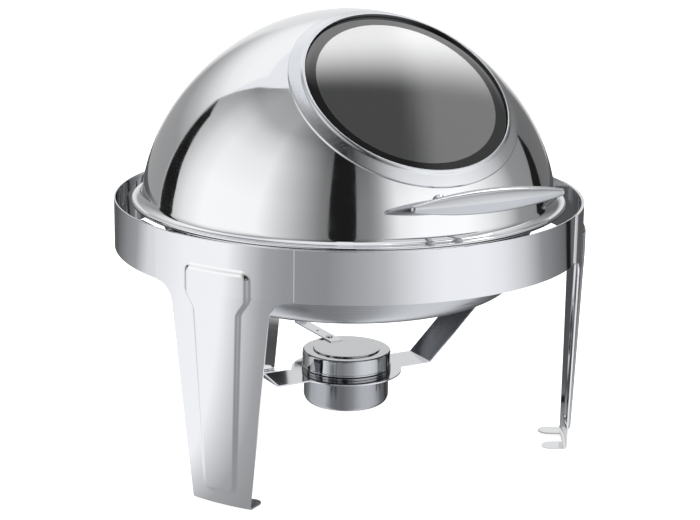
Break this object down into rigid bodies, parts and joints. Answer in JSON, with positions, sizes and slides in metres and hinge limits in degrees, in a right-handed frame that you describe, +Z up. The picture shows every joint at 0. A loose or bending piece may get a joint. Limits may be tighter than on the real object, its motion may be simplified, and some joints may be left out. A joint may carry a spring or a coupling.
{
  "type": "roll top chafer",
  "caption": "Round roll top chafer: domed lid with a round glass window that rolls back on side pivots, pans in a banded three-legged stand, fuel cup below.",
  "frame": {"origin": "on the table under the chafer, at the centre of its whole footprint from the handle's front to the back leg, on the left-right centre line", "axes": "+Z up, -Y is the front with the handle and window, +X is the right side seen from the front"},
  "size_m": [0.48, 0.5174, 0.4541],
  "materials": {
    "polished_steel": "mirror-polished stainless steel",
    "satin_steel": "satin brushed stainless steel",
    "pan_steel": "deep-drawn stainless steel, satin",
    "strap_steel": "bright rolled stainless strip",
    "smoked_glass": "smoked tempered glass with a black border",
    "seal": "black silicone",
    "washer": "natural nylon",
    "cup_steel": "polished stainless steel with fine turning lines"
  },
  "bodies": {
    "stand": {"support_band": "polished_steel", "leg_plate_left": "polished_steel", "leg_plate_right": "polished_steel", "leg_plate_back": "polished_steel", "side_bracket_left": "satin_steel", "side_bracket_right": "satin_steel", "stand_rivets": "satin_steel", "pan_hoop": "satin_steel", "burner_strap": "strap_steel", "pivot_studs": "satin_steel", "pivot_washers": "washer"},
    "water_pan": {"water_pan": "pan_steel"},
    "food_pan": {"food_pan": "pan_steel"},
    "lid": {"lid_dome": "polished_steel", "window_seal": "seal", "window_glass": "smoked_glass", "window_trim": "satin_steel", "hinge_ear_left": "satin_steel", "hinge_ear_right": "satin_steel", "lid_handle": "satin_steel", "handle_posts": "satin_steel", "handle_screws": "satin_steel"},
    "fuel_cup": {"fuel_cup": "cup_steel", "cup_cap": "cup_steel", "cover_rivet": "satin_steel"},
    "cup_cover": {"cup_cover": "cup_steel", "cover_arm": "satin_steel"}
  },
  "joints": [
    {"name": "lid_roll", "type": "hinge", "parent": "stand", "child": "lid", "pos_m": [0, 0.03175, 0.2495], "axis": [-1, 0, 0], "range_deg": [0, 75]},
    {"name": "cup_lift", "type": "slide", "parent": "stand", "child": "fuel_cup", "axis": [0, 0, 1], "range_m": [0, 0.04]},
    {"name": "water_pan_lift", "type": "slide", "parent": "stand", "child": "water_pan", "axis": [0, 0, 1], "range_m": [0, 0.02]},
    {"name": "food_pan_lift", "type": "slide", "parent": "water_pan", "child": "food_pan", "axis": [0, 0, 1], "range_m": [0, 0.02]},
    {"name": "cover_swivel", "type": "hinge", "parent": "fuel_cup", "child": "cup_cover", "pos_m": [0, 0.05275, 0.0975], "axis": [0, 0, 1], "range_deg": [0, 110]}
  ]
}
